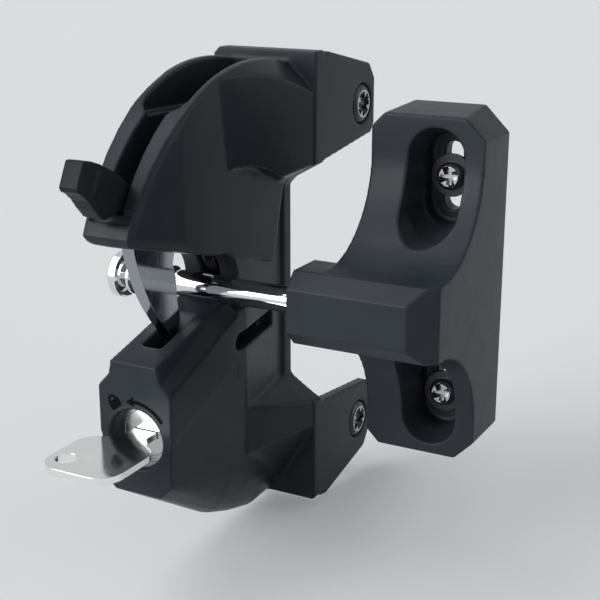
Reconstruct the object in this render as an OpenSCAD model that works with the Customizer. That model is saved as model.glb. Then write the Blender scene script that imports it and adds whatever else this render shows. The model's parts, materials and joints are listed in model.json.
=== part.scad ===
// Key-lockable gate latch: a housing for the gate stile, a hook lifted by a
// thumb lever, a cam lock, and a striker with a round rod for the post.
// Origin: on the gate face, on the housing's centre line, halfway between
// the two side screws. +X runs along the striker rod to the post, -Y points
// away from the gate, +Z is up. All sizes are in millimetres.

/* [Housing] */
// Width of the base plate on the gate face
base_w = 34.4; // [33:0.2:40]
// Height of the base plate above the origin
base_top = 77.5; // [76:0.5:84]
// Depth of the base plate below the origin
base_bottom = 75.4; // [74.4:0.5:81]
// Thickness of the base plate
base_t = 5.5; // [4.5:0.5:6.5]
// Height of the waist in the base plate's right edge, above the origin
waist_top = 34; // [33:0.5:36]
// Depth of the waist below the origin
waist_bottom = 31.5; // [30.5:0.5:33.5]
// Distance of the waist's edge from the centre line
waist_x = 8.4; // [8.4:0.1:9.4]
// Width of the hood at its rim
hood_w = 17; // [16.6:0.2:19]
// Radius of the hood's rim round the hook's pivot
hood_r = 71.5; // [70:0.5:74]
// Radial width of the bevel along the hood's rim
hood_bevel = 4.5; // [3:0.5:6]
// How far the bevel widens the hood on each side
hood_flare = 1.4; // [0.8:0.2:2]
// Wall of the hood between the hook's cavity and the rim
hood_wall = 9.2; // [8:0.2:10]
// Width of the finger scoop in the top of the hood
scoop_w = 14.4; // [13:0.2:14.6]
// Depth of the finger scoop
scoop_depth = 13; // [10:0.5:15]

/* [Side ears] */
// Thickness of the ears on the gate's side face
ear_t = 4; // [3.5:0.5:6]
// How far the ears reach back along the gate's side face
ear_depth = 38.3; // [37:0.5:44]
// Distance between the two side screws
ear_pitch = 114.4; // [112:0.2:117]
// Distance of the side screws behind the gate face
ear_hole_y = 28.5; // [27:0.5:30]
// Diameter of the side screws' head recess
ear_recess_d = 13.8; // [13:0.2:15]
// Depth of the side screws' head recess
ear_recess_t = 1.8; // [1.4:0.1:2.2]

/* [Hook and lever] */
// Distance of the hook's pivot in front of the gate face
pivot_y = 25; // [24.5:0.1:26]
// Height of the hook's pivot above the origin
pivot_z = 5; // [4.6:0.1:5.4]
// Diameter of the pivot pin
pivot_pin_d = 5; // [4.4:0.2:5.4]
// Thickness of the hook
hook_t = 4; // [3.6:0.1:4.6]
// Width of the slot that the hook swings in
hook_slot_w = 6.6; // [6.4:0.1:6.8]
// Thickness of the thumb lever
lever_t = 6; // [5.4:0.1:6]

/* [Lock] */
// Depth of the lock axis below the origin
lock_drop = 28.3; // [28:0.1:29]
// Distance of the lock box's front face from the gate face
lock_face_y = 80; // [79:0.5:84]
// Diameter of the lock's opening and bore
lock_bore_d = 18; // [17.6:0.1:18.4]
// Diameter of the turning plug
plug_d = 14.8; // [14.4:0.1:15.2]
// How far the plug's face lies inside the opening
plug_recess = 5.5; // [4:0.5:7]
// Distance of the cam pin from the lock's axis
cam_r = 4.2; // [4:0.05:4.3]
// Diameter of the cam pin
cam_pin_d = 2.6; // [2.4:0.1:2.8]
// Thickness of the lock bar
bar_t = 3.6; // [3.2:0.1:3.8]

/* [Key] */
// Thickness of the key
key_t = 1.9; // [1.6:0.1:2.2]
// Width and length of the key's bow
key_bow = 25; // [23:0.5:28]
// Width of the key's blade
key_blade_w = 7.6; // [7:0.1:8]
// Diameter of the key ring hole
key_hole_d = 6.5; // [5:0.5:7]

/* [Striker] */
// Distance from the housing's centre line to the striker bracket's near edge
striker_x = 46.5; // [44:0.5:52]
// Width of the striker bracket
striker_w = 35.5; // [34:0.5:38]
// Height of the striker bracket
striker_h = 107.6; // [106:0.4:112]
// Depth of the bracket's plate from post to front face
striker_t = 20.5; // [18:0.5:22]
// Height of the rod's axis above the origin
rod_z = 10.3; // [10.1:0.1:10.5]
// Distance of the rod's axis from the gate face
rod_y = 47; // [46.8:0.1:47.4]
// Diameter of the striker rod
rod_d = 8; // [7.6:0.1:8.4]
// Diameter of the collar at the rod's end
collar_d = 10; // [9:0.1:10]
// Reach of the rod beyond the bracket's arm
rod_reach = 44; // [44:0.5:48]
// Diameter of the rod's head
rod_head_d = 14.6; // [13:0.2:16]
// Length of the arm that holds the rod
arm_len = 44; // [42:0.5:46]
// Distance of the arm's front from the post
arm_y = 58; // [57:0.5:61]
// Height of the arm
arm_h = 22; // [20:0.5:24]
// Distance between the centres of the bracket's slots
slot_pitch = 65; // [64:0.5:67]
// Distance between the two striker screws
striker_screw_pitch = 69; // [68:0.2:69.8]

/* [Travel] */
// Angle that the hook lifts
lift_angle = 32; // [28:1:32]
// How far the bracket can be set up or down on its screws
height_travel = 3; // [2:0.5:3]
// How far the rod can be set in or out
reach_travel = 5; // [3:0.5:6]
// Gap between pieces that move past each other
run_gap = 0.3; // [0.25:0.05:0.35]

/* [Hidden] */
$fn = 64;

charcoal = [0.16, 0.18, 0.20];
soft_black = [0.09, 0.10, 0.11];
chrome = [0.82, 0.84, 0.86];
zinc = [0.62, 0.64, 0.66];
brass = [0.78, 0.66, 0.36];
nylon = [0.85, 0.84, 0.78];

big = 200;
fit_gap = 0.05;
half_w = base_w/2;
gate_side_x = 16.2;
hood_half = hood_w/2;
cavity_r = hood_r - hood_wall;
slot_half = hook_slot_w/2;
lock_z = -lock_drop;
screw_hole_d = 5;
screw_d = screw_hole_d - 0.8;

// Lay a (y, z) outline along X, from x0 to x1
module along_x(x0, x1) {
  translate([x0, 0, 0]) rotate([90, 0, 90]) linear_extrude(x1 - x0) children();
}

// Lay an (x, z) outline along Y, from y0 to y1
module along_y(y0, y1) {
  translate([0, y1, 0]) rotate([90, 0, 0]) linear_extrude(y1 - y0) children();
}

// Lay an (x, y) outline along Z, from z0 to z1
module along_z(z0, z1) {
  translate([0, 0, z0]) linear_extrude(z1 - z0) children();
}

// Round rods along each axis, given by centre and ends
module rod_x(y, z, d, x0, x1) {
  translate([x0, y, z]) rotate([0, 90, 0]) cylinder(d = d, h = x1 - x0);
}
module rod_y_dir(x, z, d, y0, y1) {
  translate([x, y1, z]) rotate([90, 0, 0]) cylinder(d = d, h = y1 - y0);
}
module rod_z_dir(x, y, d, z0, z1) {
  translate([x, y, z0]) cylinder(d = d, h = z1 - z0);
}

// A cone or countersink along X, from diameter d0 at x0 to d1 at x1
module cone_x(y, z, d0, d1, x0, x1) {
  translate([x0, y, z]) rotate([0, 90, 0]) cylinder(d1 = d0, d2 = d1, h = x1 - x0);
}
// The same along Y, from diameter d0 at y0 to d1 at y1
module cone_y(x, z, d0, d1, y0, y1) {
  translate([x, y0, z]) rotate([-90, 0, 0]) cylinder(d1 = d0, d2 = d1, h = y1 - y0);
}

// Mirror a copy across the centre plane as well
module both_sides() {
  children();
  mirror([1, 0, 0]) children();
}

// A slot outline with round ends, centred, long in its second direction
module obround(w, len) {
  for (s = [-1, 1]) translate([0, s*(len - w)/2]) circle(d = w);
  square([w, len - w], center = true);
}

// Points on a circle round the pivot, in the (y, z) plane
function on_pivot(r, a) = [-pivot_y + r*cos(a), pivot_z + r*sin(a)];
function pivot_arc(r, a0, a1, n) =
  [for (i = [0 : n]) on_pivot(r, a0 + (a1 - a0)*i/n)];

// Points on a circle in any plane, round (cx, cy)
function arc_at(cx, cy, r, a0, a1, n) =
  [for (i = [0 : n]) let (a = a0 + (a1 - a0)*i/n) [cx + r*cos(a), cy + r*sin(a)]];

// Housing

chin_z = 31.4;
chin_back_z = 21;
throat_room = 4.8;
throat_y = rod_y - collar_d/2 - throat_room;
throat_r = 10.5;
throat_top = chin_back_z - 3;
throat_bottom = rod_z - collar_d/2 - 1.3;
ramp_front_z = -5;
ramp_back_y = rod_y - 2;
ramp_end_y = rod_y - 5.3;
ramp_rise = throat_bottom - ramp_front_z;
ramp_angle = atan(ramp_rise/(lock_face_y - ramp_back_y));
box_bottom = 45.5;

// The hood and the part of the body above the throat, seen from the side
module hood_outline() {
  intersection() {
    polygon(concat([[-big, base_top], [-hood_r - pivot_y + 3.5, 39],
      [8 - hood_r - pivot_y, chin_z]],
      arc_at(-throat_y - throat_r, chin_back_z - throat_r, throat_r, 100, 0, 8),
      [[-throat_y, 0], [0, 0], [0, base_top]]));
    union() {
      translate([-pivot_y, pivot_z]) circle(r = hood_r, $fn = 128);
      translate([-pivot_y, 0]) square([pivot_y, base_top]);
    }
  }
}

// A wheel round the pivot with bevelled rims, which gives the hood its arc
module hood_wheel(half, flare, bevel) {
  translate([0, -pivot_y, pivot_z]) rotate([0, 90, 0])
    rotate_extrude($fn = 128)
      polygon([[0, -half - flare], [hood_r - bevel, -half - flare],
        [hood_r, -half], [hood_r, half], [hood_r - bevel, half + flare],
        [0, half + flare]]);
}

// The hood's side surface: a cone leaned so that the rim widens upwards
rim_lean = 4.2;
module hood_side_cone() {
  k = hood_flare/hood_bevel;
  translate([7.4, -hood_r - pivot_y + 5, pivot_z]) rotate([0, 0, -rim_lean])
    translate([0, hood_r - 5, 0]) rotate([0, 90, 0]) rotate_extrude($fn = 128)
      polygon([[0, -60], [hood_r + 6, -60], [hood_r + 6, -6*k],
        [hood_r - hood_bevel, hood_flare], [0, hood_flare]]);
}

// The bevel along the hood's bottom edge, leaned like its rim
chin_bevel = 3.2;
module chin_side() {
  slope = atan((chin_z - chin_back_z)/(hood_r + pivot_y - 8 - rod_y - 4));
  translate([8, -hood_r - pivot_y + 5, chin_z + 3*tan(slope)])
    rotate([0, 0, -rim_lean]) rotate([-slope, 0, 0]) along_y(-20, 80)
      polygon([[-60, 0], [-chin_bevel, 0], [-0.3*chin_bevel, 0.3*chin_bevel],
        [0, chin_bevel], [0, 40], [60, 60], [60, 120], [-60, 120]]);
}

// The narrow front of the hood
module hood_blade() {
  intersection() {
    translate([0, -pivot_y, pivot_z]) rotate([0, 90, 0])
      cylinder(r = hood_r, h = 2*hood_side, center = true, $fn = 128);
    hood_side_cone();
    mirror([1, 0, 0]) hood_side_cone();
    chin_side();
    mirror([1, 0, 0]) chin_side();
    along_x(-half_w, half_w) hood_outline();
  }
}

// Outline from above of the body's flanks: narrow in front, wide at the gate
hood_side = hood_half + hood_flare;
module flank_plan(left, right, crease) {
  polygon([[-left, 0], [-left, -base_t], [-hood_side, -crease], [-hood_side, -50],
    [hood_side, -50], [hood_side, -crease], [right, -base_t], [right, 0]]);
}

module flank_wedge(left, right, crease) {
  polygon([[-left, 0], [-left, -base_t], [-hood_side, -crease],
    [hood_side, -crease], [right, -base_t], [right, 0]]);
}

// The wide back of the body above the waist; its lower edge is an arch
module upper_flanks() {
  intersection() {
    hull() {
      along_z(base_top - 0.2, base_top) flank_wedge(half_w - 0.5, ear_x - 0.5, 47.3);
      along_z(waist_top, waist_top + 0.2) flank_wedge(half_w - 0.5, ear_x - 0.5, 40.4);
    }
    hood_wheel(hood_side, ear_x - hood_side, 9.5);
    along_y(-big, 0) offset(delta = -0.4) base_outline();
    along_x(-half_w, ear_x) polygon([[-50, base_top], [-50, 44],
      [-40, 45.6], [-33, 45.4], [-26, 43.6], [-20.4, 40.6], [-13, 37.4],
      [-base_t, waist_top + 0.5], [0, waist_top + 0.5], [0, base_top]]);
  }
}

// The body at the waist, joining the hood to the lock box
module waist_body() {
  intersection() {
    along_z(-waist_bottom - 8, waist_top + 12) flank_plan(waist_x - 1.2, waist_x - 1.2, 38.5);
    along_x(-half_w, half_w)
      polygon(concat([[-throat_y, throat_bottom - 1],
        [-48, ramp_front_z], [-48, -waist_bottom - 8], [0, -waist_bottom - 8],
        [0, waist_top + 12], [-48, waist_top + 12], [-48, chin_back_z]],
        arc_at(-throat_y - throat_r, chin_back_z - throat_r, throat_r, 90, 0, 8)));
  }
}

// Front view of the lock box's lower part and of its ramp
box_half = 12.5;
box_crease = 37;
ramp_half = 8;
ramp_foot = ramp_half + 1.8;
ledge_z = 2;
ledge_fall = 3.6;
module box_front() {
  polygon([[-box_half, -12.8], [-box_half + 0.5, 4 - box_bottom],
    [-box_half + 4.5, -box_bottom], [box_half - 4.5, -box_bottom],
    [box_half - 0.5, 4 - box_bottom], [box_half, -12.8]]);
}
module ramp_front() {
  polygon([[-ramp_half, 0], [-ramp_foot, -8.8], [-ramp_foot, -22],
    [ramp_foot, -22], [ramp_foot, -8.8], [ramp_half, 0]]);
}
module shoulder_front() {
  polygon([[-ramp_half, -3.5], [-box_half, -7.8], [-box_half, -22],
    [box_half, -22], [box_half, -7.8], [ramp_half, -3.5]]);
}

// A beam that rises from the lock's face towards the throat
module rising(angle) {
  translate([0, -lock_face_y, ramp_front_z]) rotate([angle, 0, 0])
    translate([0, -10, 0]) along_y(0, 60) children();
}

// The lock box: a straight lower part under a ramp with bevelled shoulders,
// which rise a little more steeply than the ramp but never above it
module lock_box() {
  along_y(-lock_face_y, -box_crease) box_front();
  along_y(-ramp_end_y - 0.5, -box_crease)
    translate([-box_half, -20]) square([2*box_half, 20 + ledge_z]);
  intersection() {
    union() {
      rising(ramp_angle) ramp_front();
      intersection() {
        rising(ramp_angle + 6) shoulder_front();
        rising(ramp_angle) translate([-box_half, -big]) square([2*box_half, big - 0.3]);
      }
    }
    along_y(-lock_face_y, -ramp_end_y) square([2*box_half, 80], center = true);
  }
}

// Half an ellipse below a flat top, as a thin slice across Y
module belly_slice(y, half, top, bottom) {
  n = 14;
  along_y(y - 0.2, y)
    polygon(concat([[half, -41.2], [half, top]], [for (i = [1 : n - 1])
      [half*cos(180*i/n), top - (top - bottom)*sin(180*i/n)]],
      [[-half, top], [-half, -41.2]]));
}

// The belly under the lock box: it deepens towards the gate
belly = [[46.2, box_half - 0.3, 47, 66.5], [34, 11.6, 49, 71.2],
  [20.5, 10, 51, 75.1], [0.2, 6.4, 54, base_bottom]];
module belly_body() {
  hull() {
    along_y(-lock_face_y, -lock_face_y + 0.2)
      polygon([[-box_half + 0.5, 4 - box_bottom], [-box_half + 4.5, -box_bottom],
        [box_half - 4.5, -box_bottom], [box_half - 0.5, 4 - box_bottom]]);
    belly_slice(-belly[0][0], belly[0][1], -belly[0][2], -belly[0][3]);
  }
  for (i = [0 : len(belly) - 2]) hull() {
    belly_slice(-belly[i][0], belly[i][1], -belly[i][2], -belly[i][3]);
    belly_slice(-belly[i + 1][0], belly[i + 1][1], -belly[i + 1][2], -belly[i + 1][3]);
  }
}

// The lower flanks: they widen to the base plate, and fade out below
flank_low = 47;
module lower_plan(left, right) {
  polygon([[-left, 0], [-left, -base_t], [-box_half, -box_crease],
    [box_half, -box_crease], [right, -base_t], [right, 0]]);
}
module lower_flanks() {
  intersection() {
    along_z(-waist_bottom - 8, ledge_z) lower_plan(waist_x - 1.2, waist_x - 1.2);
    along_x(-half_w, half_w) polygon([[-lock_face_y, ledge_z], [-box_crease, ledge_z],
      [0, ledge_z - ledge_fall], [0, -lock_face_y], [-lock_face_y, -lock_face_y]]);
  }
  hull() {
    along_z(-waist_bottom - 0.1, -waist_bottom + 0.1) lower_plan(waist_x - 1.2, waist_x - 1.2);
    along_z(-waist_bottom - 8, -waist_bottom - 7.8) lower_plan(half_w - 0.5, ear_x - 0.5);
  }
  along_z(-flank_low, -waist_bottom - 7.9) lower_plan(half_w - 0.5, ear_x - 0.5);
  hull() {
    along_z(-flank_low - 0.1, 0.1 - flank_low) lower_plan(half_w - 0.5, ear_x - 0.5);
    along_z(-70, -69.8) translate([-6, -base_t]) square([12, 5]);
  }
}

// Base plate from the front, with its waist on the right
ear_x = gate_side_x + ear_t;
module base_outline() {
  c = 2;
  polygon([[-half_w + c, base_top], [ear_x, base_top], [ear_x, waist_top + 8],
    [waist_x + 2.2, waist_top + 2.5], [waist_x, waist_top],
    [waist_x, -waist_bottom], [waist_x + 1.6, -waist_bottom - 2.2],
    [ear_x, -waist_bottom - 7.8], [ear_x, -base_bottom + 1],
    [ear_x - 1, -base_bottom], [-half_w + c, -base_bottom],
    [-half_w, -base_bottom + c], [-half_w, base_top - c]]);
}
module base_plate() {
  along_y(-base_t, 0) base_outline();
}

// Ears on the gate's side face
ear_hole_z = ear_pitch/2;
module ear_outline(s) {
  z_in = s > 0 ? waist_top + 8.2 : waist_bottom + 8.6;
  z_out = s > 0 ? base_top - 0.6 : base_bottom + 1;
  polygon([[-1, s*z_in], [ear_depth - 2.5, s*(z_in + 4.3)],
    [ear_depth, s*(z_in + 7)], [ear_depth, s*(z_out - 12)],
    [ear_depth - 4.2, s*(z_out - 6.6)], [3.3, s*z_out], [-1, s*(z_out - 1)]]);
}
module ears() {
  for (s = [-1, 1])
    along_x(gate_side_x, gate_side_x + ear_t) ear_outline(s);
}
module ear_holes() {
  for (s = [-1, 1]) {
    rod_x(ear_hole_y, s*ear_hole_z, screw_hole_d, gate_side_x - 1,
      gate_side_x + ear_t + 1);
    rod_x(ear_hole_y, s*ear_hole_z, ear_recess_d,
      gate_side_x + ear_t - ear_recess_t, gate_side_x + ear_t + 1);
  }
}

// The cavity that the hook swings in: inside the hood, open at the back and,
// through a slot in the throat's wall, to the throat
pocket_y = 40.6;
pocket_floor = -10.5;
pocket_top = 46;
module hook_cavity_outline() {
  intersection() {
    translate([-pivot_y, pivot_z]) circle(r = cavity_r, $fn = 128);
    polygon([[-big, chin_back_z], [-pocket_y - 4, throat_top - 4],
      [-pocket_y, throat_top - 4], [-pocket_y, pocket_floor], [0, pocket_floor],
      [0, pocket_top], [-28, pocket_top], [-30, 100], [-big, 100]]);
  }
  polygon([[-70.5, 2], [-70.5, -3], [-66.5, -7], [-55, -7], [-50, 6],
    [-60, 8]]);
}

// The slot that the lever leaves the hood through, with its round lower end
lever_slot_low = 149.5;
lever_slot_high = 104;
module lever_slot() {
  along_x(-slot_half, slot_half)
    polygon(concat([on_pivot(cavity_r - 6, lever_slot_low)],
      pivot_arc(hood_r + 3, lever_slot_low, lever_slot_high, 24),
      [on_pivot(cavity_r - 6, lever_slot_high)]));
  along_x(-6.8, 6.8)
    polygon(concat(pivot_arc(hood_r - 1.6, 149.2, 152.3, 3),
      pivot_arc(hood_r + 3, 152.3, 149.2, 3)));
}

// The finger scoop: a round-nosed trough whose floor falls to the back
scoop_front_y = 64.5;
scoop_back_y = 10.5;
module scoop() {
  front_z = pivot_z + sqrt(hood_r*hood_r - pow(scoop_front_y - pivot_y, 2));
  intersection() {
    along_x(-scoop_w/2, scoop_w/2)
      polygon([[-scoop_front_y - 1, front_z - 0.6], [-scoop_back_y, base_top - scoop_depth - 2],
        [-scoop_back_y, base_top + 10], [-scoop_front_y - 1, base_top + 10]]);
    along_z(40, base_top + 10) {
      translate([0, -scoop_front_y + scoop_w/2]) circle(d = scoop_w);
      translate([-scoop_w/2, -scoop_front_y + scoop_w/2])
        square([scoop_w, scoop_front_y - scoop_w/2 - scoop_back_y]);
    }
  }
}

// Seat of the screw at the back of the scoop
upper_screw_z = 67;
upper_screw_head_d = 9;
upper_screw_head_t = 2.8;
upper_screw_len = 36;
upper_seat_y = -4.5;
module upper_screw_seat() {
  rod_y_dir(0, upper_screw_z, screw_hole_d, -big/4, 1);
  rod_y_dir(0, upper_screw_z, upper_screw_head_d + 0.8, -scoop_back_y - 1, upper_seat_y);
}

// Saddles for the pivot pin, open towards the back
saddle_x = 6.2;
module pin_saddles() {
  rod_x(-pivot_y, pivot_z, pivot_pin_d, -saddle_x, saddle_x);
  along_x(-saddle_x, saddle_x)
    translate([-pivot_y, pivot_z - pivot_pin_d/2]) square([pivot_y + 1, pivot_pin_d]);
}

// Bore of the lock, its bevelled mouth and the pocket of its cam
barrel_front = -lock_face_y + plug_recess;
barrel_len = 30.5;
barrel_back = barrel_front + barrel_len;
cam_room = 5.4;
module lock_bore() {
  rod_y_dir(0, lock_z, lock_bore_d, -lock_face_y - 1, barrel_back);
  cone_y(0, lock_z, lock_bore_d + 1.4, lock_bore_d, -lock_face_y - 0.01, -lock_face_y + 0.7);
  rod_y_dir(0, lock_z, lock_bore_d - 3.6, barrel_back - 1, barrel_back + cam_room);
}

// Hole of the screw that holds the barrel, from below
barrel_screw_y = -58;
barrel_screw_d = 4;
module barrel_screw_hole() {
  rod_z_dir(0, barrel_screw_y, barrel_screw_d, -big/2, lock_z - plug_d/2);
}

// Travel and places of the lock bar
bar_lift = 2*cam_r*sin(45);
bar_front = -38.6;
bar_back = bar_front + bar_t;
bar_top = -8.2;
bar_half = slot_half - run_gap;
yoke_half_left = 7.4;
yoke_right = cam_r + cam_pin_d/2 + 0.5;
yoke_z = lock_z - bar_lift/2;
yoke_slot_gap = 0.25;
yoke_low = yoke_z - cam_pin_d/2 - 3.4;
yoke_high = yoke_z + cam_pin_d/2 + 3.4;

// Pocket of the lock bar and of the block behind it, open at the back
bar_pocket_low = yoke_low - 0.8;
bar_pocket_high = yoke_high + bar_lift + 0.8;
module bar_pocket() {
  translate([-yoke_half_left - run_gap, bar_front - run_gap, bar_pocket_low])
    cube([yoke_half_left + yoke_right + 2*run_gap, -bar_front + 2*run_gap + 1,
      bar_pocket_high - bar_pocket_low]);
  translate([-slot_half, bar_front - run_gap, bar_pocket_low])
    cube([hook_slot_w, bar_t + 2*run_gap, pocket_floor - bar_pocket_low + 1]);
}

// Slot in the right flank, with a round front end
side_slot_z = -8.1;
side_slot_h = 5.4;
side_slot_front = -43.5;
module side_slot() {
  along_x(5, half_w + 1) {
    translate([side_slot_front + side_slot_h/2, side_slot_z]) circle(d = side_slot_h);
    translate([side_slot_front + side_slot_h/2, side_slot_z - side_slot_h/2])
      square([27, side_slot_h]);
  }
  along_x(0, 6) translate([-36, side_slot_z - side_slot_h/2 + 0.6])
    square([18, side_slot_h - 1.2]);
}

// Recess of the back cover and pilot holes of its screws
cover_t = 1.6;
cover_left = 12.4;
cover_right = 7.4;
cover_low = -41;
cover_high = 52;
cover_holes = [[-9.6, 46], [-9.6, 18], [-10, -14], [-4, -38.6]];
cover_pilot_d = 2.2;
module cover_outline(gap) {
  translate([-cover_left - gap, cover_low - gap])
    square([cover_left + cover_right + 2*gap, cover_high - cover_low + 2*gap]);
}
module cover_recess() {
  along_y(-cover_t, 1) cover_outline(0.1);
  for (p = cover_holes) rod_y_dir(p[0], p[1], cover_pilot_d, -cover_t - 6, 0);
}

module housing() {
  color(charcoal) difference() {
    union() {
      hood_blade();
      upper_flanks();
      waist_body();
      lock_box();
      belly_body();
      lower_flanks();
      base_plate();
      ears();
    }
    along_x(-slot_half, slot_half) hook_cavity_outline();
    lever_slot();
    scoop();
    upper_screw_seat();
    pin_saddles();
    lock_bore();
    barrel_screw_hole();
    bar_pocket();
    side_slot();
    cover_recess();
    ear_holes();
  }
}

// Back cover: a steel plate with two legs that hold the pivot pin in place
leg_t = 2.3;
module back_cover() {
  color(zinc) difference() {
    union() {
      along_y(-cover_t, 0) cover_outline(0);
      both_sides() translate([slot_half + 0.2, -pivot_y + pivot_pin_d/2, pivot_z - 2])
        cube([leg_t, pivot_y - pivot_pin_d/2 - cover_t/2, 4]);
    }
    for (p = cover_holes) {
      rod_y_dir(p[0], p[1], 2.8, -2*cover_t, 1);
      cone_y(p[0], p[1], 2.8, 5.3, -1.22, 0.01);
    }
  }
}

// Countersunk screws of the back cover, with cross recesses
module cross_recess(w, t, depth) {
  for (a = [0, 90]) rotate(a) translate([-w/2, -t/2, -depth]) cube([w, t, depth + 1]);
}
module cover_screws() {
  color(zinc) for (p = cover_holes) difference() {
    union() {
      rod_y_dir(p[0], p[1], cover_pilot_d, -cover_t - 5, -0.4);
      cone_y(p[0], p[1], cover_pilot_d, 5, -1.5, -0.1);
    }
    translate([p[0], -0.1, p[1]]) rotate([-90, 0, 0]) cross_recess(2.8, 0.6, 0.8);
  }
}

// Block behind the lock bar, which keeps it upright
module bar_carrier() {
  front = bar_back + run_gap;
  color(nylon) difference() {
    translate([-yoke_half_left, front, bar_pocket_low + 0.1])
      cube([yoke_half_left + yoke_right, -cover_t - front,
        bar_pocket_high - bar_pocket_low - 0.2]);
    rod_y_dir(0, lock_z, 2*cam_r + cam_pin_d + 1.2, front - 1, front + 2.2);
  }
}

// Pivot pin across the hook's slot
module pivot_pin() {
  color(zinc) rod_x(-pivot_y, pivot_z, pivot_pin_d, -saddle_x + 0.1, saddle_x - 0.1);
}

// Screws, drawn along Y with the head towards -Y at the origin, and with a
// plain neck where they pass through the plate that they hold
screw_neck = 0.4;
screw_tip = 3;
module pan_screw(head_d, head_t, shank_d, len, neck) {
  rotate([90, 0, 0]) difference() {
    union() {
      cylinder(d = head_d, h = head_t*0.55);
      translate([0, 0, head_t*0.55]) cylinder(d1 = head_d, d2 = head_d*0.72, h = head_t*0.45);
      translate([0, 0, -neck]) cylinder(d = shank_d + screw_neck, h = neck);
      translate([0, 0, screw_tip - len]) cylinder(d = shank_d, h = len - screw_tip);
      translate([0, 0, -len]) cylinder(d1 = 1, d2 = shank_d, h = screw_tip + 0.01);
    }
    translate([0, 0, head_t]) cross_recess(head_d*0.62, head_d*0.13, head_t*0.6);
  }
}

// The two side screws, whose broad heads lie in the ears' recesses
side_head_d = 13;
side_head_t = 2.3;
side_screw_len = 32;
module side_screws() {
  color(zinc) for (s = [-1, 1])
    translate([gate_side_x + ear_t - ear_recess_t, ear_hole_y, s*ear_hole_z])
      rotate([0, 0, 90])
        pan_screw(side_head_d, side_head_t, screw_d, side_screw_len, ear_t - ear_recess_t);
}

// The screw at the back of the scoop
module upper_screw() {
  color(soft_black) translate([0, upper_seat_y, upper_screw_z])
    pan_screw(upper_screw_head_d, upper_screw_head_t, screw_d, upper_screw_len, -upper_seat_y);
}

// Hook and lever

bush_wall = 1.2;
bush_d = pivot_pin_d + 2*bush_wall;
hub_r = 8.6;
hub_in = hub_r - 1;
tail_face_y = -34.2;
rivet_holes = [[cavity_r - 8.3, 149], [cavity_r - 8.3, 138.5]];
arm_r = cavity_r - 2.3;
front_y = -hood_r - pivot_y;
rivet_d = 3;

// Side view of the hook: a hub, an arm inside the hood, the curved claw in
// front of the rod, and a tail below the hub for the lock bar
module hook_outline() {
  difference() {
    union() {
      translate([-pivot_y, pivot_z]) circle(r = hub_r);
      polygon(concat(
        [on_pivot(hub_in, 60)], [on_pivot(30, 118)], [on_pivot(44, 130)],
        pivot_arc(arm_r, 134, 152, 8),
        [[front_y + 16.5, 30], [-79.7, 27.6], [-78.6, 24], [-77.2, 20.4], [-75.6, 16.6],
        [-73.6, 12.8], [-71, 8.8], [-68, 4.8], [-64.6, 0.8], [-61.8, -2.4],
        [-61, -2.6], [-59.2, 0.2], [-58, 2.6], [-58.4, 5.4], [-59.2, 9.6],
        [-59.4, 16], [-61, 20.4], [-59, 26.5], [-52, 29], [-44, 26]],
        [on_pivot(hub_in, 170)]));
      polygon([on_pivot(hub_in, 175), [tail_face_y, -0.6],
        [tail_face_y, -7.6], [-31, -9.2], [-26, -8.4], on_pivot(hub_in, 300)]);
    }
    translate([-pivot_y, pivot_z]) circle(d = bush_d);
    for (p = rivet_holes) translate(on_pivot(p[0], p[1])) circle(d = rivet_d);
  }
}
module hook() {
  color(chrome) along_x(-hook_t/2, hook_t/2) hook_outline();
}

// Bush in the hook's hub
module hook_bush() {
  color(brass) difference() {
    rod_x(-pivot_y, pivot_z, bush_d, -hook_t/2 - 0.2, hook_t/2 + 0.2);
    rod_x(-pivot_y, pivot_z, pivot_pin_d + 2*fit_gap, -big, big);
  }
}

// Washers that keep the hook in the middle of its slot
module spacer_washers() {
  x0 = hook_t/2 + 0.2 + fit_gap;
  x1 = slot_half;
  color(nylon) both_sides() difference() {
    rod_x(-pivot_y, pivot_z, 11, x0, x1);
    rod_x(-pivot_y, pivot_z, pivot_pin_d, -big, big);
  }
}

// Thumb lever: two cheeks over the hook's arm, and a curved tab outside
lever_root_r = cavity_r - 15.3;
lever_side_r = cavity_r - 2.8;
lever_root_low = 153;
lever_root_high = 135;
// Outline of the tab, from the hood's rim outwards, on the rim's foremost point
lever_tab = [[10, 51.6], [7, 53.2], [2.4, 55.6], [-1.5, 57], [-4.4, 57.6], [-4.9, 57.2],
  [-8.1, 50.8], [-7.5, 49.6], [-5.7, 48.6], [-3.5, 46.7], [-1.1, 43.7], [1.1, 41.4],
  [3.3, 40.2]];
module lever_outline() {
  polygon(concat(
    pivot_arc(lever_root_r, lever_root_low, lever_root_high, 6),
    pivot_arc(lever_side_r, lever_root_high, 143, 4),
    [for (p = lever_tab) [front_y + p[0], p[1]]],
    [on_pivot(hood_r - 1, lever_slot_low - 0.6), on_pivot(cavity_r - 2, lever_slot_low - 0.6)],
    pivot_arc(lever_side_r, 149, lever_root_low, 3)));
}
module thumb_lever() {
  color(soft_black) difference() {
    union() {
      along_x(-lever_t/2, lever_t/2) lever_outline();
      both_sides() along_x(lever_t/2 - 0.4, lever_t/2 + 0.4)
        translate([front_y, 0])
          polygon([[2.3, 53.2], [1.3, 53.7], [-1.7, 48.4], [-0.7, 47.9]]);
    }
    along_x(-hook_t/2, hook_t/2) hook_window();
    for (p = rivet_holes) translate([0, on_pivot(p[0], p[1])[0], on_pivot(p[0], p[1])[1]])
      rotate([0, 90, 0]) cylinder(d = rivet_d, h = big, center = true);
  }
}

// The slit between the lever's cheeks takes the hook's arm up to this radius
module hook_window() {
  difference() {
    translate([-pivot_y, pivot_z]) circle(r = arm_r, $fn = 128);
    translate([-pivot_y, pivot_z]) circle(r = 20);
  }
}

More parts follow.
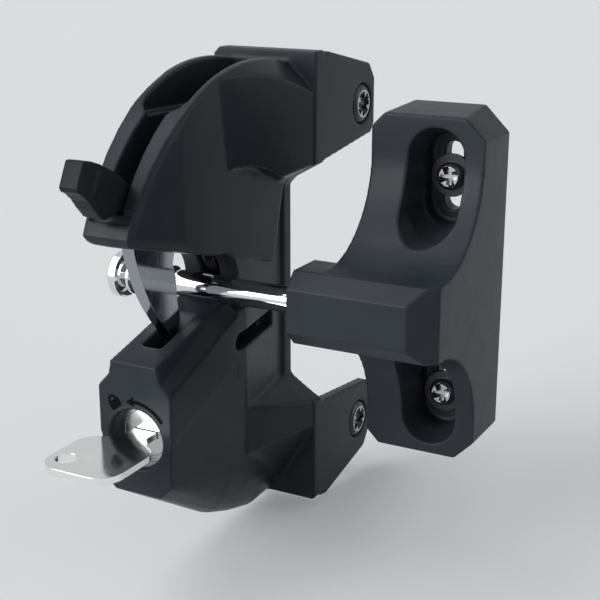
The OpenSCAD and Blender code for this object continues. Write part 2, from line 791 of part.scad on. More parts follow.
// Rivets through lever and hook
module hook_rivets() {
  color(zinc) for (p = rivet_holes)
    rod_x(on_pivot(p[0], p[1])[0], on_pivot(p[0], p[1])[1], rivet_d,
      -lever_t/2, lever_t/2);
}

// Lock

key_gap = 0.2;
blade_back = barrel_back - 6;

// Fixed barrel round the plug
module lock_barrel() {
  color(zinc) difference() {
    rod_y_dir(0, lock_z, lock_bore_d - 0.1, barrel_front, barrel_back);
    rod_y_dir(0, lock_z, plug_d + 2*fit_gap, barrel_front - 1, barrel_back + 1);
    rod_z_dir(0, barrel_screw_y, barrel_screw_d, -big/2, lock_z);
  }
}

// Screw that holds the barrel in the housing
module barrel_screw() {
  top = lock_z - plug_d/2 - 0.5;
  color(zinc) difference() {
    rod_z_dir(0, barrel_screw_y, barrel_screw_d, top - 11, top);
    translate([0, 0, top - 11.01]) translate([0, barrel_screw_y, 0])
      cylinder(d = 2.4, h = 2, $fn = 6);
  }
}

// Key, and the keyway that fits it
blade_half = key_blade_w/2;
key_front = -lock_face_y;
bow_x = -1;
function blade_points(gap) = [[-blade_half - gap, key_front],
  [-blade_half - gap, blade_back - 1 + gap], [-blade_half + 2, blade_back + 1 + gap],
  [blade_half - 2, blade_back + 1 + gap], [blade_half + gap, blade_back - 1 + gap],
  [blade_half + gap, key_front]];
module keyway() {
  translate([0, 0, lock_z - key_t/2 - key_gap]) linear_extrude(key_t + 2*key_gap)
    polygon(blade_points(key_gap));
}
module key_outline() {
  r = 7;
  x1 = key_bow/2 - r;
  y0 = key_front - 4 - key_bow + r;
  y1 = key_front - 4 - r;
  polygon(concat(arc_at(bow_x - x1, y1, r, 180, 110, 9),
    [[-5.6, key_front - 2], [-blade_half - 0.4, key_front - 0.5]],
    blade_points(0),
    [[blade_half + 0.4, key_front - 0.5], [5.6, key_front - 2]],
    arc_at(bow_x + x1, y1, r, 70, 0, 9), arc_at(bow_x + x1, y0, r, 0, -90, 12),
    arc_at(bow_x - x1, y0, r, -90, -180, 12)));
}
module key() {
  color(chrome) translate([0, 0, lock_z - key_t/2]) difference() {
    linear_extrude(key_t) difference() {
      key_outline();
      for (i = [0 : 5]) translate([blade_half, barrel_front + 4.4 + 3.6*i])
        rotate(45) square(0.8 + 0.25*(i % 3), center = true);
    }
    translate([bow_x - 7.2, key_front - 21.5, -1]) cylinder(d = key_hole_d, h = key_t + 2);
  }
}

// Turning plug with its keyway, wafer slots and rear spigot
wafer_t = 0.8;
wafer_pitch = 3.6;
wafer_count = 5;
wafer_w = 9.6;
wafer_h = 5.4;
spigot = 6;
cam_t = 2.6;
cam_front = barrel_back + 0.3;
module lock_plug() {
  color(zinc) difference() {
    union() {
      rod_y_dir(0, lock_z, plug_d, barrel_front, barrel_back);
      translate([-spigot/2, barrel_back - 0.1, lock_z - spigot/2])
        cube([spigot, cam_t + 0.4, spigot]);
    }
    keyway();
    for (i = [0 : wafer_count - 1])
      translate([-wafer_w/2 - 0.1, barrel_front + 4 + wafer_pitch*i - wafer_t/2 - 0.05,
        lock_z - wafer_h/2 - 0.1])
        cube([wafer_w + 0.2, wafer_t + 0.1, wafer_h + 0.2]);
    rod_y_dir(0, lock_z, 2.4, barrel_back - 3, barrel_back + 5);
  }
}

// Wafers, each a plate with a window for the key
module lock_wafers() {
  color(brass) for (i = [0 : wafer_count - 1])
    translate([0, barrel_front + 4 + wafer_pitch*i, lock_z]) difference() {
      cube([wafer_w, wafer_t, wafer_h], center = true);
      cube([key_blade_w + 2*key_gap, wafer_t + 1, key_t + 2*key_gap], center = true);
    }
}

// Cam on the plug's spigot, with the pin that moves the lock bar
cam_d = 13.2;
module lock_cam() {
  color(zinc) difference() {
    union() {
      rod_y_dir(0, lock_z, cam_d, cam_front, cam_front + cam_t);
      translate([0, 0, lock_z]) rotate([0, 45, 0])
        rod_y_dir(cam_r, 0, cam_pin_d, cam_front + cam_t - 0.5, bar_back + 1.6);
    }
    translate([-spigot/2, cam_front - 1, lock_z - spigot/2])
      cube([spigot, cam_t + 2, spigot]);
  }
}

// Screw that holds the cam on the plug
module cam_screw() {
  y = cam_front + cam_t;
  color(zinc) difference() {
    union() {
      rod_y_dir(0, lock_z, 2.4, barrel_back - 2.5, y);
    }
    translate([0, y, lock_z]) rotate([-90, 0, 0]) cross_recess(1.7, 0.5, 0.9);
  }
}

// Lock bar: a yoke round the cam pin, and a stem that stops the hook's tail
module lock_bar() {
  slot_x0 = cam_r*cos(45) - cam_pin_d/2 - yoke_slot_gap;
  slot_h = cam_pin_d + 2*yoke_slot_gap;
  color(zinc) difference() {
    along_y(bar_front, bar_back) {
      translate([-yoke_half_left + run_gap, yoke_low])
        square([yoke_half_left + yoke_right - 2*run_gap, yoke_high - yoke_low]);
      translate([-bar_half, yoke_low]) square([2*bar_half, bar_top - yoke_low]);
    }
    along_y(bar_front - 1, bar_back + 1) translate([slot_x0, yoke_z - slot_h/2])
      square([big, slot_h]);
  }
}

// Striker

plate_z = rod_z + 0.2;
arm_x0 = striker_x + striker_w - arm_len;
arm_x1 = striker_x + striker_w;
arm_low = plate_z - arm_h/2;
arm_high = plate_z + arm_h/2;
arm_bevel = 4.5;
corner_cut = 7.6;

// Side view of the bracket: a plate that sweeps out into the arm
sweep_r = 30;
sweep_z = sweep_r + arm_h/2;
sweep_steps = 16;
function sweep_side(s) = [for (i = [0 : sweep_steps])
  let (a = 90 - 80*i/sweep_steps)
  [-striker_t - sweep_r + sweep_r*sin(a), plate_z + s*(sweep_z - sweep_r*cos(a))]];
module bracket_side() {
  polygon(concat(
    [[0, plate_z - striker_h/2], [-striker_t, plate_z - striker_h/2 + 1.5]],
    sweep_side(-1),
    [[-arm_y + 6, arm_low], [-arm_y, arm_low + arm_bevel],
     [-arm_y, arm_high - arm_bevel], [-arm_y + 6, arm_high]],
    [for (i = [sweep_steps : -1 : 0]) sweep_side(1)[i]],
    [[-striker_t, plate_z + striker_h/2 - 1.5], [0, plate_z + striker_h/2]]));
}

// Front view of the bracket's plate, with cut corners
module plate_front() {
  x0 = striker_x;
  x1 = striker_x + striker_w;
  h = striker_h/2;
  c = corner_cut;
  translate([0, plate_z])
    polygon([[x0, -h + c*0.7], [x0 + c*0.7, -h], [x1 - c, -h], [x1, -h + c],
      [x1, h - c], [x1 - c, h], [x0 + c*0.7, h], [x0, h - c*0.7]]);
}

// The arm: a bevelled beam that carries the rod, cut off at its outer end
module arm_beam() {
  b = arm_bevel;
  intersection() {
    along_x(arm_x0, arm_x1)
      polygon([[-arm_y + b, arm_low], [-arm_y, arm_low + b],
        [-arm_y, arm_high - b], [-arm_y + b, arm_high],
        [-arm_y + 17.5, arm_high], [-arm_y + arm_h, arm_high - b],
        [-arm_y + arm_h, arm_low + b], [-arm_y + 17.5, arm_low]]);
    arm_plan();
  }
}
module arm_plan() {
  along_z(-big, big)
    polygon([[arm_x0, -arm_y - 1], [arm_x1 - 7, -arm_y], [arm_x1, -arm_y + 7],
      [arm_x1, 1], [arm_x0, 1]]);
}

// Slots for the striker screws: a mouth with sloping walls, a seat for the
// washer, and the slot itself
slot_d = 5.6;
mouth_w = 17.6;
mouth_h = 33;
mouth_floor = 12;
seat_w = 13.8;
seat_h = 28.4;
seat_floor = 6;
slot_len = 21;
slot_x = striker_x + 20.6;
module striker_slots() {
  for (s = [-1, 1]) translate([slot_x, 0, plate_z + s*slot_pitch/2]) {
    along_y(-big, 1) obround(slot_d, slot_len);
    along_y(-big, -seat_floor) obround(seat_w, seat_h);
    along_y(-big, -striker_t) obround(mouth_w, mouth_h);
    hull() {
      along_y(-striker_t - 0.1, -striker_t) obround(mouth_w, mouth_h);
      along_y(-mouth_floor - 0.1, -mouth_floor) obround(seat_w, seat_h);
    }
  }
}

bush_out_d = 13;
bush_len = 12;
rod_hole_len = arm_len - 8;
module striker_bracket() {
  color(charcoal) difference() {
    union() {
      intersection() {
        along_x(striker_x, striker_x + striker_w) bracket_side();
        along_y(-big, 0) plate_front();
        arm_plan();
      }
      arm_beam();
    }
    striker_slots();
    rod_x(-rod_y, rod_z, rod_d + 0.6, arm_x0 - 1, arm_x0 + rod_hole_len);
    rod_x(-rod_y, rod_z, bush_out_d, arm_x0 - 1, arm_x0 + bush_len);
    rod_z_dir(arm_x0 + bush_len + 6, -rod_y, set_screw_d, -big/4, rod_z);
  }
}

// Bush in the arm's mouth, in which the rod slides
module arm_bush() {
  color(nylon) difference() {
    rod_x(-rod_y, rod_z, bush_out_d, arm_x0 + 0.4, arm_x0 + bush_len);
    rod_x(-rod_y, rod_z, rod_d + 2*fit_gap, arm_x0 - 1, arm_x0 + big);
  }
}

// Set screw under the arm, which clamps the rod
set_screw_d = 5;
module rod_set_screw() {
  top = rod_z - rod_d/2 - fit_gap;
  x = arm_x0 + bush_len + 6;
  color(zinc) difference() {
    rod_z_dir(x, -rod_y, set_screw_d, arm_low + 0.3, top);
    translate([x, -rod_y, arm_low]) cylinder(d = 2.9, h = 2.4, $fn = 6);
  }
}

// Striker rod, with a neck for the end cap
rod_x0 = arm_x0 - rod_reach;
rod_tail = arm_x0 + bush_len + 12;
neck_d = 5;
module striker_rod() {
  color(chrome) union() {
    cone_x(-rod_y, rod_z, rod_d - 1.6, rod_d, rod_x0, rod_x0 + 0.8);
    rod_x(-rod_y, rod_z, rod_d, rod_x0 + 0.8, rod_tail);
    rod_x(-rod_y, rod_z, neck_d, rod_x0 - 8, rod_x0 + 0.4);
  }
}

// End cap: a collar, a waist and the round head that stops at the hook
collar_len = 13;
head_t = 4;
module rod_end_cap() {
  x1 = rod_x0 - 0.3;
  x0 = x1 - collar_len;
  color(chrome) difference() {
    translate([x1, -rod_y, rod_z]) rotate([0, -90, 0]) rotate_extrude()
      polygon([[0, 0], [collar_d/2 - 0.8, 0], [collar_d/2, 0.8], [collar_d/2, collar_len - 1],
        [collar_d/2 - 0.6, collar_len], [collar_d/2 - 0.6, collar_len + 1.2],
        [collar_d/2 + 0.7, collar_len + 1.2], [collar_d/2 + 0.7, collar_len + 2.2],
        [collar_d/2 - 1, collar_len + 2.2], [collar_d/2 - 1, collar_len + 4.4],
        [rod_head_d/2 - 0.7, collar_len + 4.4], [rod_head_d/2, collar_len + 5.1],
        [rod_head_d/2, collar_len + 5.1 + head_t - 1.6],
        [rod_head_d/2 - 1.6, collar_len + 5.1 + head_t], [0, collar_len + 5.1 + head_t]]);
    rod_x(-rod_y, rod_z, neck_d, x0 + collar_len - 8, x1 + 1);
  }
}

// Striker screws and their broad black washers
striker_screw_z = [for (s = [-1, 1]) plate_z - 1.6 + s*striker_screw_pitch/2];
washer_t = 1.4;
washer_d = 13;
slot_screw_d = slot_d - 1;
striker_head_d = 8.4;
striker_head_t = 2.6;
striker_screw_len = 38;
module striker_screws() {
  color(zinc) for (z = striker_screw_z)
    translate([slot_x, -seat_floor - run_gap - washer_t, z])
      pan_screw(striker_head_d, striker_head_t, slot_screw_d, striker_screw_len,
        seat_floor + run_gap + washer_t);
}
module striker_washers() {
  color(soft_black) for (z = striker_screw_z) difference() {
    rod_y_dir(slot_x, z, washer_d, -seat_floor - run_gap - washer_t, -seat_floor - run_gap);
    rod_y_dir(slot_x, z, slot_screw_d + screw_neck, -big/4, 1);
  }
}

housing();
back_cover();
cover_screws();
bar_carrier();
pivot_pin();
side_screws();
upper_screw();
hook();
hook_bush();
spacer_washers();
thumb_lever();
hook_rivets();
lock_barrel();
barrel_screw();
lock_plug();
lock_wafers();
lock_cam();
cam_screw();
lock_bar();
key();
striker_bracket();
arm_bush();
rod_set_screw();
striker_rod();
rod_end_cap();
striker_screws();
striker_washers();
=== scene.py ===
"""Looks of the gate latch: camera, soft studio light, procedural materials, the moulded pieces
with rounded edges, the crossed screw heads and the signs on the lock's face. Everything is in
metres, in the frame of the CAD model: origin on the gate's face, +X along the striker rod, +Y
into the gate, +Z up."""
import json
import math

import bmesh
import bpy
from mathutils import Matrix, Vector


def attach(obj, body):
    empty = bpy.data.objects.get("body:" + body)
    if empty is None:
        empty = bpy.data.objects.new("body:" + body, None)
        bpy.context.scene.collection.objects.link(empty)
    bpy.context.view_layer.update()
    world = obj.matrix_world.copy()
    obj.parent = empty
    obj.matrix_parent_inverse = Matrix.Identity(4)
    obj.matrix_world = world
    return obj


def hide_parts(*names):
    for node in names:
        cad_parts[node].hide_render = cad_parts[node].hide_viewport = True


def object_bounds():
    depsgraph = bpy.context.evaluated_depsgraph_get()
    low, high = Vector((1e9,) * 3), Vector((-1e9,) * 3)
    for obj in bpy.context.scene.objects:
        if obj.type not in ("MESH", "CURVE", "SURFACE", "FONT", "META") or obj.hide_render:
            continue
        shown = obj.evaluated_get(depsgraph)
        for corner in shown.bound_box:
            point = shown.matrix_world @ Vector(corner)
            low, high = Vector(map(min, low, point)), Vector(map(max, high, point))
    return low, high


MM = 0.001
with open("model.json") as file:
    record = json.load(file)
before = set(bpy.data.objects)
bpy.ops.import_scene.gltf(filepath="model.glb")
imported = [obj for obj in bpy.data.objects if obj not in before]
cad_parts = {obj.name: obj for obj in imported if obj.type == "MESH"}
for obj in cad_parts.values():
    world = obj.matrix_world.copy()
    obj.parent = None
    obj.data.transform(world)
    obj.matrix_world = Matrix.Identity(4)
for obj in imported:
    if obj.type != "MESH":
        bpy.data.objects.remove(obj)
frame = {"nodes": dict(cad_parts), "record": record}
cad_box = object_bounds()
record = frame["record"]
nodes = frame["nodes"]
body_of = {n: b for b, ns in record["behaviour"]["bodies"].items() for n in ns}


def put_in_scene(thing):
    bpy.context.scene.collection.objects.link(thing)


# Camera, fitted to the photograph

CAMERA_PLACE = Vector((0.20069, -0.35344, 0.11719))
CAMERA_AZIMUTH = math.radians(28.15)
CAMERA_ELEVATION = math.radians(17.04)
CAMERA_LENS = 74.88
CAMERA_SENSOR = 36
CAMERA_NEAR = 0.01
CAMERA_FAR = 20


def make_camera():
    data = bpy.data.cameras.new("camera")
    data.lens = CAMERA_LENS
    data.sensor_width = CAMERA_SENSOR
    data.clip_start = CAMERA_NEAR
    data.clip_end = CAMERA_FAR
    camera = bpy.data.objects.new("camera", data)
    look = Vector((
        -math.sin(CAMERA_AZIMUTH) * math.cos(CAMERA_ELEVATION),
        math.cos(CAMERA_AZIMUTH) * math.cos(CAMERA_ELEVATION),
        -math.sin(CAMERA_ELEVATION),
    ))
    camera.rotation_euler = look.to_track_quat("-Z", "Y").to_euler()
    camera.location = CAMERA_PLACE
    put_in_scene(camera)
    bpy.context.scene.camera = camera


# Shader node helpers

def new_material(name):
    material = bpy.data.materials.new(name)
    material.use_nodes = True
    tree = material.node_tree
    shader = next(n for n in tree.nodes if n.type == "BSDF_PRINCIPLED")
    return material, tree, shader


def add(tree, kind, **values):
    """A new node, with some of its properties or sockets set."""
    node = tree.nodes.new(kind)
    for key, value in values.items():
        if hasattr(node, key):
            setattr(node, key, value)
        else:
            node.inputs[key.replace("_", " ")].default_value = value
    return node


def place(tree, stretch):
    """Object coordinates, stretched along one axis for brushed or streaky surfaces."""
    coordinates = add(tree, "ShaderNodeTexCoord")
    mapping = add(tree, "ShaderNodeMapping", Scale=stretch)
    tree.links.new(coordinates.outputs["Object"], mapping.inputs["Vector"])
    return mapping.outputs["Vector"]


def noise(tree, scale, detail, stretch=(1, 1, 1)):
    node = add(tree, "ShaderNodeTexNoise", Scale=scale, Detail=detail)
    tree.links.new(place(tree, stretch), node.inputs["Vector"])
    return node.outputs["Fac"]


def remap(tree, value, low, high, start=0.3, end=0.7):
    """Most noise lies between 0.3 and 0.7, which this spreads from low to high."""
    node = add(tree, "ShaderNodeMapRange", From_Min=start, From_Max=end, To_Min=low, To_Max=high)
    tree.links.new(value, node.inputs["Value"])
    return node.outputs["Result"]


def tint(tree, shader, value, first, second):
    """Base colour that goes from the first to the second colour with a noise."""
    node = add(tree, "ShaderNodeMix", data_type="RGBA")
    for socket in node.inputs:
        if socket.name == "A" and socket.type == "RGBA":
            socket.default_value = (*first, 1)
        if socket.name == "B" and socket.type == "RGBA":
            socket.default_value = (*second, 1)
    tree.links.new(remap(tree, value, 0, 1), node.inputs["Factor"])
    mixed = next(s for s in node.outputs if s.type == "RGBA")
    tree.links.new(mixed, shader.inputs["Base Color"])


def vary_roughness(tree, shader, value, low, high):
    tree.links.new(remap(tree, value, low, high), shader.inputs["Roughness"])


def relief(tree, shader, height, depth, strength, edge=None):
    """Bump from a height, on normals that are rounded over edges of the given radius."""
    bump = add(tree, "ShaderNodeBump", Strength=strength, Distance=depth)
    tree.links.new(height, bump.inputs["Height"])
    if edge:
        rounded = add(tree, "ShaderNodeBevel", samples=8, Radius=edge)
        tree.links.new(rounded.outputs["Normal"], bump.inputs["Normal"])
    tree.links.new(bump.outputs["Normal"], shader.inputs["Normal"])


def seen_ray(tree):
    """1 for what the camera sees, directly or in metal and glass."""
    path = add(tree, "ShaderNodeLightPath")
    seen = path.outputs["Is Camera Ray"]
    for ray in ("Is Glossy Ray", "Is Transmission Ray"):
        either = add(tree, "ShaderNodeMath", operation="MAXIMUM")
        tree.links.new(seen, either.inputs[0])
        tree.links.new(path.outputs[ray], either.inputs[1])
        seen = either.outputs[0]
    return seen


def mix_shaders(tree, factor, first, second, output_type):
    """Mix two shaders by a factor, and put the result on the tree's output."""
    mixed = add(tree, "ShaderNodeMixShader")
    tree.links.new(factor, mixed.inputs[0])
    tree.links.new(first.outputs[0], mixed.inputs[1])
    tree.links.new(second.outputs[0], mixed.inputs[2])
    output = next(n for n in tree.nodes if n.type == output_type)
    tree.links.new(mixed.outputs[0], output.inputs["Surface"])


def scaled(color, share):
    return tuple(share * c for c in color)


# Materials

MOULDED_GLOSS = 0.13


def moulded(name, dark, light, roughness, edge=None):
    """Glass-filled nylon: near-black, faint cloudiness, satin with a fine eroded grain."""
    material, tree, shader = new_material(name)
    shader.inputs["Specular IOR Level"].default_value = MOULDED_GLOSS
    tint(tree, shader, noise(tree, scale=45, detail=4), dark, light)
    haze = noise(tree, scale=160, detail=3)
    vary_roughness(tree, shader, haze, roughness - 0.03, roughness + 0.03)
    grain = noise(tree, scale=3200, detail=2)
    relief(tree, shader, grain, depth=0.03 * MM, strength=0.3, edge=edge)
    return material


def polished(name, color, roughness, edge=0.25 * MM, marks=0.004 * MM):
    """Polished steel: mirror-like, with faint wiping marks."""
    material, tree, shader = new_material(name)
    shader.inputs["Metallic"].default_value = 1
    tint(tree, shader, noise(tree, scale=70, detail=3), color, scaled(color, 0.93))
    wiped = noise(tree, scale=260, detail=5, stretch=(1, 6, 1))
    vary_roughness(tree, shader, wiped, roughness * 0.7, roughness * 1.5)
    relief(tree, shader, wiped, depth=marks, strength=0.3, edge=edge)
    return material


def brushed(name, color, roughness, along=(1, 0.04, 1), depth=0.008 * MM):
    """Plated metal with fine lines along one axis."""
    material, tree, shader = new_material(name)
    shader.inputs["Metallic"].default_value = 1
    lines = noise(tree, scale=5200, detail=3, stretch=along)
    tint(tree, shader, lines, color, scaled(color, 0.9))
    vary_roughness(tree, shader, lines, roughness - 0.04, roughness + 0.05)
    relief(tree, shader, lines, depth, strength=0.4, edge=0.15 * MM)
    return material


def coated(name, color, roughness, edge=0.15 * MM, gloss=0.5):
    """Black coating or ink, with a fine speckle."""
    material, tree, shader = new_material(name)
    shader.inputs["Specular IOR Level"].default_value = gloss
    speckle = noise(tree, scale=1500, detail=3)
    tint(tree, shader, speckle, color, scaled(color, 1.5))
    vary_roughness(tree, shader, speckle, roughness - 0.05, roughness + 0.05)
    relief(tree, shader, speckle, depth=0.01 * MM, strength=0.3, edge=edge)
    return material


def painted_floor(name, color, glow_strength):
    """Pale matt floor, a little brighter to the camera and in what mirrors it."""
    material, tree, shader = new_material(name)
    shader.inputs["Roughness"].default_value = 0.9
    shader.inputs["Specular IOR Level"].default_value = 0.1
    tint(tree, shader, noise(tree, scale=3, detail=2), color, scaled(color, 0.985))
    glow = add(tree, "ShaderNodeEmission", Color=(*color, 1), Strength=glow_strength)
    glowing = add(tree, "ShaderNodeAddShader")
    tree.links.new(shader.outputs[0], glowing.inputs[0])
    tree.links.new(glow.outputs[0], glowing.inputs[1])
    mix_shaders(tree, seen_ray(tree), shader, glowing, "OUTPUT_MATERIAL")
    return material


housing_black = moulded("housing_black", (0.020, 0.025, 0.031), (0.027, 0.033, 0.039), 0.36)
striker_black = moulded("striker_black", (0.022, 0.027, 0.033), (0.029, 0.036, 0.043), 0.36)
lever_black = moulded("lever_black", (0.009, 0.010, 0.013), (0.013, 0.015, 0.018), 0.42)
nylon = moulded("nylon", (0.66, 0.64, 0.57), (0.72, 0.70, 0.63), 0.45, edge=0.2 * MM)
mirror_steel = polished("mirror_steel", (0.80, 0.82, 0.84), 0.05)
hook_steel = polished("hook_steel", (0.34, 0.36, 0.39), 0.09)
key_nickel = polished("key_nickel", (0.95, 0.95, 0.94), 0.12, edge=0.2 * MM, marks=0.003 * MM)
lock_nickel = polished("lock_nickel", (0.52, 0.53, 0.54), 0.20, edge=0.2 * MM, marks=0.003 * MM)
zinc = brushed("zinc", (0.44, 0.46, 0.49), 0.30, along=(1, 1, 1), depth=0.012 * MM)
brass = brushed("brass", (0.80, 0.60, 0.28), 0.3)
# Black coating of the striker washers; the same material is also painted shade in the screws'
# crosses and on the sides of the side screws' heads
black_steel = coated("black_steel", (0.010, 0.011, 0.013), 0.4)
sign_black = coated("sign_black", (0.0015, 0.002, 0.0025), 0.6, edge=0.05 * MM, gloss=0.05)

# Nodes that are not named here are plated with zinc
NODE_MATERIALS = {
    "housing": housing_black, "striker_bracket": striker_black, "thumb_lever": lever_black,
    "hook": hook_steel, "striker_rod": mirror_steel, "rod_end_cap": mirror_steel,
    "key": key_nickel, "lock_plug": lock_nickel, "lock_barrel": lock_nickel,
    "lock_wafers": brass, "hook_bush": brass,
    "striker_washers": black_steel,
    "spacer_washers": nylon, "arm_bush": nylon, "bar_carrier": nylon,
}


def paint_nodes():
    for name, node in nodes.items():
        material = NODE_MATERIALS.get(name, zinc)
        if not node.material_slots:
            node.data.materials.append(material)
        for entry in node.material_slots:
            entry.material = material


# Helpers for pieces and their meshes

WELD = 1e-6


def fasten(piece, node):
    """Let a piece move with its node's body."""
    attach(piece, body_of[node])


def turn_outward(mesh):
    work = bmesh.new()
    work.from_mesh(mesh)
    bmesh.ops.recalc_face_normals(work, faces=work.faces)
    work.to_mesh(mesh)
    work.free()


def apply_modifiers(piece):
    graph = bpy.context.evaluated_depsgraph_get()
    final = bpy.data.meshes.new_from_object(piece.evaluated_get(graph))
    piece.modifiers.clear()
    piece.data = final
    return final


# Moulded pieces with rounded edges

SMOOTH_FACTOR = 0.5
FLAT_ANGLE = math.radians(0.6)


def soft_copy(node, voxel, rounds, material):
    """A copy of a moulded node with its edges rounded, in place of the node."""
    mesh = nodes[node].data.copy()
    piece = bpy.data.objects.new(node + "_moulded", mesh)
    put_in_scene(piece)
    work = bmesh.new()
    work.from_mesh(mesh)
    bmesh.ops.remove_doubles(work, verts=work.verts, dist=WELD)
    work.to_mesh(mesh)
    work.free()
    remesh = piece.modifiers.new("remesh", "REMESH")
    remesh.mode = "VOXEL"
    remesh.voxel_size = voxel
    remesh.adaptivity = 0
    smooth = piece.modifiers.new("smooth", "SMOOTH")
    smooth.factor = SMOOTH_FACTOR
    smooth.iterations = rounds
    thin = piece.modifiers.new("thin", "DECIMATE")
    thin.decimate_type = "DISSOLVE"
    thin.angle_limit = FLAT_ANGLE
    final = apply_modifiers(piece)
    final.materials.clear()
    final.materials.append(material)
    final.polygons.foreach_set("use_smooth", [True] * len(final.polygons))
    fasten(piece, node)
    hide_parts(node)


# Screw heads with a broad cross, its walls painted black as painted shade in the recess. The
# cross's arms are shares of the head's diameter; the cutter starts above the head and narrows to
# the cross's floor.

CROSS_REACH = 0.37
CROSS_HALF = 0.105
CROSS_LIFT = 0.6 * MM
CROSS_MOUTH = 1.08
CROSS_FLOOR = 0.62
FACES_OUT = 0.98

# Node, axis of the screws and the end with the head, number of screws, direction of one arm of
# the cross, diameter of the head and depth of the cross in millimetres, and a dark rim of
# painted shade on the head's sides or none
CROSSES = (
    ("side_screws", 0, 1, 2, (0, 0.8, 0.6), 12.2, 1.4, True),
    ("striker_screws", 1, -1, 2, (0.92, 0, 0.39), 9.6, 1.5, False),
    ("upper_screw", 1, -1, 1, (0.8, 0, 0.6), 9.6, 1.6, False),
)


def cross_cutter(center, out, across, head_d, depth):
    """A tapered plus-shaped block, sunk into a screw's head from outside."""
    up = out.cross(across)
    reach, half = CROSS_REACH * head_d, CROSS_HALF * head_d
    plus = [(half, half), (reach, half), (reach, -half), (half, -half), (half, -reach),
            (-half, -reach), (-half, -half), (-reach, -half), (-reach, half), (-half, half),
            (-half, reach), (half, reach)]
    points = []
    for level, scale in ((CROSS_LIFT, CROSS_MOUTH), (-depth, CROSS_FLOOR)):
        points += [center + out * level + (across * u + up * v) * scale for u, v in plus]
    n = len(plus)
    faces = [tuple(range(n)), tuple(range(2 * n - 1, n - 1, -1))]
    faces += [(i, i + n, (i + 1) % n + n, (i + 1) % n) for i in range(n)]
    mesh = bpy.data.meshes.new("cross")
    mesh.from_pydata([tuple(p) for p in points], [], faces)
    turn_outward(mesh)
    # The cutter's faces become the walls of the cross, all in the black material: painted shade
    # in the recess
    mesh.materials.append(zinc)
    mesh.materials.append(black_steel)
    mesh.polygons.foreach_set("material_index", [1] * len(mesh.polygons))
    cutter = bpy.data.objects.new("cross", mesh)
    put_in_scene(cutter)
    return cutter


def crossed_heads(node, heads, out, across, head_d, depth, painted_shade_rim):
    """A copy of a node of screws with broad crosses cut in the heads, the crosses' walls painted
    dark as shade in the recess and, where asked, the heads' sides painted dark as shade.
    """
    mesh = nodes[node].data.copy()
    mesh.materials.clear()
    mesh.materials.append(zinc)
    mesh.materials.append(black_steel)
    piece = bpy.data.objects.new(node + "_crossed", mesh)
    put_in_scene(piece)
    work = bmesh.new()
    work.from_mesh(mesh)
    bmesh.ops.remove_doubles(work, verts=work.verts, dist=WELD)
    for face in work.faces:
        # Faces that don't face out, the head's sides, take the black material as painted shade
        # when the dark rim is asked for
        face.material_index = int(painted_shade_rim and face.normal.dot(out) < FACES_OUT)
    work.to_mesh(mesh)
    work.free()
    cutters = [cross_cutter(Vector(c), out, across, head_d, depth) for c in heads]
    for cutter in cutters:
        cut = piece.modifiers.new("cut", "BOOLEAN")
        cut.operation = "DIFFERENCE"
        cut.solver = "EXACT"
        cut.object = cutter
    apply_modifiers(piece)
    for cutter in cutters:
        bpy.data.objects.remove(cutter)
    fasten(piece, node)
    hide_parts(node)


def head_centers(node, axis, end, count):
    """Middle of each screw's head in a node with one screw, or two at different heights."""
    points = [v.co for v in nodes[node].data.vertices]
    groups = [points]
    if count == 2:
        middle = (max(p.z for p in points) + min(p.z for p in points)) / 2
        groups = [[p for p in points if (p.z > middle) == up] for up in (True, False)]
    centers = []
    for group in groups:
        low = [min(p[i] for p in group) for i in range(3)]
        high = [max(p[i] for p in group) for i in range(3)]
        center = [(a + b) / 2 for a, b in zip(low, high)]
        center[axis] = high[axis] if end > 0 else low[axis]
        centers.append(center)
    return centers


def make_screws():
    for node, axis, end, count, across, head_d, depth, painted_shade_rim in CROSSES:
        out = Vector([end if i == axis else 0 for i in range(3)])
        crossed_heads(node, head_centers(node, axis, end, count), out, Vector(across),
                      head_d * MM, depth * MM, painted_shade_rim)


# Signs on the lock's face: an arrow round the lock and a padlock, as outlines in millimetres

LOCK_FACE = -80 * MM
LOCK_CENTER = (0, -28.3)
SIGN_PROUD = 0.14 * MM
SIGN_SUNK = 0.3 * MM
ARROW_RADIUS = 11.7
ARROW_HALF = 0.5
ARROW_START, ARROW_END = 36, 92
ARROW_HEAD_START, ARROW_TIP = 91, 104
ARROW_HEAD_HALF = 1.5
PADLOCK_CENTER = (-7.2, -17.6)
PADLOCK_TILT = 38
PADLOCK_BODY = [(-1.7, -2.2), (1.7, -2.2), (2.0, -1.9), (2.0, 0.5), (-2.0, 0.5), (-2.0, -1.9)]
SHACKLE_FOOT = (0, 0.5)
SHACKLE_OUTER, SHACKLE_INNER = 1.6, 0.95


def sign(name, outlines):
    """Thin proud shapes on the lock's face."""
    points, faces = [], []
    for outline in outlines:
        n, start = len(outline), len(points)
        for level in (LOCK_FACE - SIGN_PROUD, LOCK_FACE + SIGN_SUNK):
            points += [(x * MM, level, z * MM) for x, z in outline]
        faces.append(tuple(range(start, start + n)))
        faces.append(tuple(range(start + 2 * n - 1, start + n - 1, -1)))
        faces += [(start + i, start + (i + 1) % n, start + n + (i + 1) % n, start + n + i)
                  for i in range(n)]
    mesh = bpy.data.meshes.new(name)
    mesh.from_pydata(points, [], faces)
    turn_outward(mesh)
    mesh.materials.append(sign_black)
    piece = bpy.data.objects.new(name, mesh)
    put_in_scene(piece)
    fasten(piece, "housing")


def on_circle(center, radius, degrees):
    angle = math.radians(degrees)
    return center[0] + radius * math.cos(angle), center[1] + radius * math.sin(angle)


def arc(center, radius, start, end, steps):
    return [on_circle(center, radius, start + (end - start) * i / steps)
            for i in range(steps + 1)]


def turned(outline, center, degrees):
    c, s = math.cos(math.radians(degrees)), math.sin(math.radians(degrees))
    return [(center[0] + c * x - s * z, center[1] + s * x + c * z) for x, z in outline]


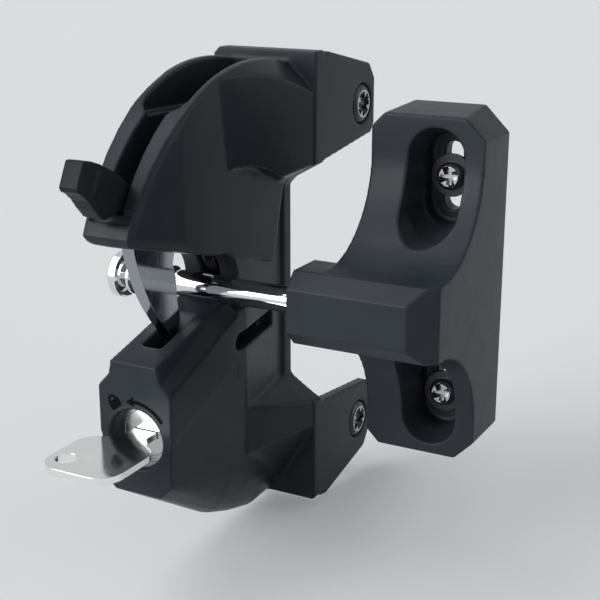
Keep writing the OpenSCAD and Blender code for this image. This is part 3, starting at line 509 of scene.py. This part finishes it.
def make_signs():
    band = (arc(LOCK_CENTER, ARROW_RADIUS + ARROW_HALF, ARROW_START, ARROW_END, 18)
            + arc(LOCK_CENTER, ARROW_RADIUS - ARROW_HALF, ARROW_END, ARROW_START, 18))
    head = [on_circle(LOCK_CENTER, ARROW_RADIUS + ARROW_HEAD_HALF, ARROW_HEAD_START),
            on_circle(LOCK_CENTER, ARROW_RADIUS, ARROW_TIP),
            on_circle(LOCK_CENTER, ARROW_RADIUS - ARROW_HEAD_HALF, ARROW_HEAD_START)]
    sign("turn_sign", [band, head])
    shackle = (arc(SHACKLE_FOOT, SHACKLE_OUTER, 0, 180, 12)
               + arc(SHACKLE_FOOT, SHACKLE_INNER, 180, 0, 12))
    sign("lock_sign", [turned(outline, PADLOCK_CENTER, PADLOCK_TILT)
                       for outline in (PADLOCK_BODY, shackle)])


# Stage and light

FLOOR_HALF = 6.0
FLOOR_DROP = 0.002
FLOOR_COLOR = (0.66, 0.665, 0.675)
FLOOR_GLOW = 0.26
AROUND_COLOR, AROUND_STRENGTH = (0.90, 0.93, 0.97, 1), 0.34
SHOWN_COLOR, SHOWN_STRENGTH = (0.95, 0.965, 0.98, 1), 0.62

# The direction that each broad distant light comes from, its strength and its angle in degrees
SUNS = {
    "key_light": ((-0.50, -0.82, 0.28), 2.25, 40),
    "high_light": ((-0.45, -0.50, 0.72), 0.55, 30),
    "top_light": ((-0.45, -0.05, 0.89), 0.5, 30),
    "side_light": ((0.80, 0.50, 0.25), 0.3, 30),
}


def make_stage():
    """A floor a little below the part."""
    height = cad_box[0][2] - FLOOR_DROP
    corners = [(x * FLOOR_HALF, y * FLOOR_HALF, height)
               for x, y in ((-1, -1), (1, -1), (1, 1), (-1, 1))]
    mesh = bpy.data.meshes.new("floor")
    mesh.from_pydata(corners, [], [(0, 1, 2, 3)])
    mesh.materials.append(painted_floor("floor_paint", FLOOR_COLOR, FLOOR_GLOW))
    floor = bpy.data.objects.new("floor", mesh)
    put_in_scene(floor)


def make_world():
    """Even light from all sides, which the camera and the metals see brighter."""
    world = bpy.data.worlds.new("studio")
    world.use_nodes = True
    bpy.context.scene.world = world
    tree = world.node_tree
    around = next(n for n in tree.nodes if n.type == "BACKGROUND")
    around.inputs["Color"].default_value = AROUND_COLOR
    around.inputs["Strength"].default_value = AROUND_STRENGTH
    shown = add(tree, "ShaderNodeBackground", Color=SHOWN_COLOR, Strength=SHOWN_STRENGTH)
    mix_shaders(tree, seen_ray(tree), around, shown, "OUTPUT_WORLD")


def make_suns():
    for name, (toward, strength, angle) in SUNS.items():
        data = bpy.data.lights.new(name, "SUN")
        data.energy = strength
        data.angle = math.radians(angle)
        light = bpy.data.objects.new(name, data)
        light.rotation_euler = Vector(toward).to_track_quat("Z", "Y").to_euler()
        put_in_scene(light)


make_camera()
make_stage()
make_world()
make_suns()
paint_nodes()
make_screws()
make_signs()
soft_copy("housing", 0.5 * MM, 6, housing_black)
soft_copy("striker_bracket", 0.5 * MM, 6, striker_black)
soft_copy("thumb_lever", 0.3 * MM, 5, lever_black)

bpy.context.scene.view_settings.view_transform = "Standard"
